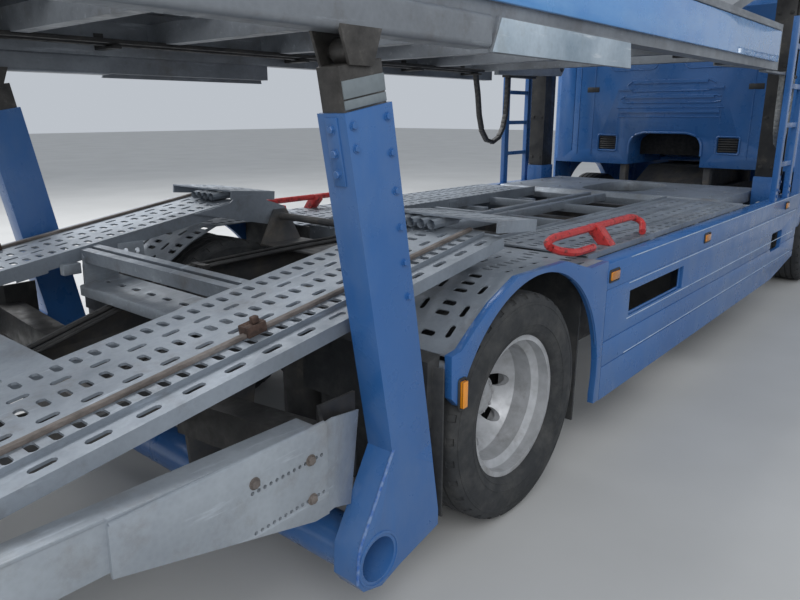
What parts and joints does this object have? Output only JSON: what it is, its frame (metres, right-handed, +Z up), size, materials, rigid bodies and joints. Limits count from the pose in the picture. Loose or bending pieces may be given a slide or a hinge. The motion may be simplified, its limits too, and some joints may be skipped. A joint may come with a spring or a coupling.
{
  "type": "car transporter truck",
  "caption": "Rigid truck with two open car-carrying decks, a folding upper deck that runs on over the cab, a tail drawbar jaw and twin rear wheels.",
  "frame": {"origin": "on the ground, midway between the tip of the nose and the tail, on the centre plane", "axes": "+X forward, +Y to the left, +Z up from the ground"},
  "size_m": [9.65, 2.96, 3.0756],
  "materials": {
    "tyre": "matt",
    "wheel_steel": "satin",
    "chassis_black": "satin",
    "chassis_grey": "satin",
    "engine_grey": "matt",
    "tank_grey": "satin",
    "galvanised": "satin",
    "blue_paint": "gloss",
    "cab_paint": "gloss",
    "mast_black": "satin",
    "black_rubber": "matt",
    "red_paint": "gloss",
    "red_lens": "gloss",
    "amber_lens": "gloss",
    "lamp_glass": "gloss",
    "glass": "gloss",
    "grille_black": "matt",
    "interior_cloth": "matt"
  },
  "bodies": {
    "chassis": {"front_axle": "chassis_black", "rear_axle": "chassis_black", "chassis_frame": "chassis_grey", "springs": "chassis_black", "engine": "engine_grey", "tanks": "tank_grey", "deck_frame": "galvanised", "side_beams": "blue_paint", "side_panels": "blue_paint", "deck_tracks": "galvanised", "mudguards": "galvanised", "mud_flaps": "black_rubber", "rear_rails": "galvanised", "tail_bar": "galvanised", "tail_lamps": "red_lens", "coupling": "chassis_black", "mast_bases": "blue_paint", "front_masts": "mast_black", "ladders": "blue_paint", "wheel_stops": "red_paint", "cab_shell": "cab_paint", "windscreen": "glass", "bumper": "cab_paint", "grille": "grille_black", "headlamps": "lamp_glass", "mirrors": "grille_black", "cab_interior": "interior_cloth", "side_lamps": "amber_lens"},
    "knuckle_left": {"knuckle_left": "chassis_black"},
    "knuckle_right": {"knuckle_right": "chassis_black"},
    "wheel_front_left": {"wheel_front_left": "wheel_steel", "tyre_front_left": "tyre"},
    "wheel_front_right": {"wheel_front_right": "wheel_steel", "tyre_front_right": "tyre"},
    "wheels_rear_left": {"wheels_rear_left": "wheel_steel", "tyres_rear_left": "tyre"},
    "wheels_rear_right": {"wheels_rear_right": "wheel_steel", "tyres_rear_right": "tyre"},
    "door_left": {"door_left": "cab_paint", "door_glass_left": "glass"},
    "door_right": {"door_right": "cab_paint", "door_glass_right": "glass"},
    "upper_deck": {"upper_frame": "galvanised", "upper_panels": "blue_paint", "upper_tracks": "galvanised"},
    "rear_posts": {"rear_posts": "blue_paint"},
    "post_rams": {"post_rams": "galvanised"},
    "front_deck": {"front_deck": "galvanised"},
    "rear_platform": {"rear_platform": "galvanised"}
  },
  "joints": [
    {"name": "steer_left", "type": "hinge", "parent": "chassis", "child": "knuckle_left", "pos_m": [3.425, 0.88, 0.475], "axis": [0, 0, 1], "range_deg": [-35, 35]},
    {"name": "steer_right", "type": "hinge", "parent": "chassis", "child": "knuckle_right", "pos_m": [3.425, -0.88, 0.475], "axis": [0, 0, 1], "range_deg": [-35, 35]},
    {"name": "roll_front_left", "type": "hinge", "parent": "knuckle_left", "child": "wheel_front_left", "pos_m": [3.425, 1.0925, 0.475], "axis": [0, 1, 0], "continuous": true},
    {"name": "roll_front_right", "type": "hinge", "parent": "knuckle_right", "child": "wheel_front_right", "pos_m": [3.425, -1.0925, 0.475], "axis": [0, 1, 0], "continuous": true},
    {"name": "roll_rear_left", "type": "hinge", "parent": "chassis", "child": "wheels_rear_left", "pos_m": [-2.175, 0.9375, 0.475], "axis": [0, 1, 0], "continuous": true},
    {"name": "roll_rear_right", "type": "hinge", "parent": "chassis", "child": "wheels_rear_right", "pos_m": [-2.175, -0.9375, 0.475], "axis": [0, 1, 0], "continuous": true},
    {"name": "open_door_left", "type": "hinge", "parent": "chassis", "child": "door_left", "pos_m": [4.581, 1.254, 1.7], "axis": [0, 0, -1], "range_deg": [0, 70]},
    {"name": "open_door_right", "type": "hinge", "parent": "chassis", "child": "door_right", "pos_m": [4.581, -1.254, 1.7], "axis": [0, 0, 1], "range_deg": [0, 70]},
    {"name": "raise_upper_deck", "type": "hinge", "parent": "chassis", "child": "upper_deck", "pos_m": [2.075, 0, 2.06], "axis": [0, 1, 0], "range_deg": [0, 10]},
    {"name": "lean_rear_posts", "type": "hinge", "parent": "chassis", "child": "rear_posts", "pos_m": [-3.055, 0, 0.25], "axis": [0, 1, 0], "range_deg": [0, 4.46]},
    {"name": "extend_post_rams", "type": "slide", "parent": "rear_posts", "child": "post_rams", "axis": [-0.1736, 0, 0.9848], "range_m": [0, 0.9083]},
    {"name": "tip_front_deck", "type": "hinge", "parent": "chassis", "child": "front_deck", "pos_m": [2.075, 0, 2.7], "axis": [0, 1, 0], "range_deg": [-10, 0]},
    {"name": "raise_rear_platform", "type": "hinge", "parent": "chassis", "child": "rear_platform", "pos_m": [-1.875, 0, 1.06], "axis": [0, 1, 0], "range_deg": [0, 9]}
  ],
  "couplings": [
    {"joint": "steer_right", "follows": "steer_left", "ratio": 1},
    {"joint": "lean_rear_posts", "follows": "raise_upper_deck", "ratio": 0.4461},
    {"joint": "extend_post_rams", "follows": "raise_upper_deck", "m_per_rad": 5.2042}
  ]
}
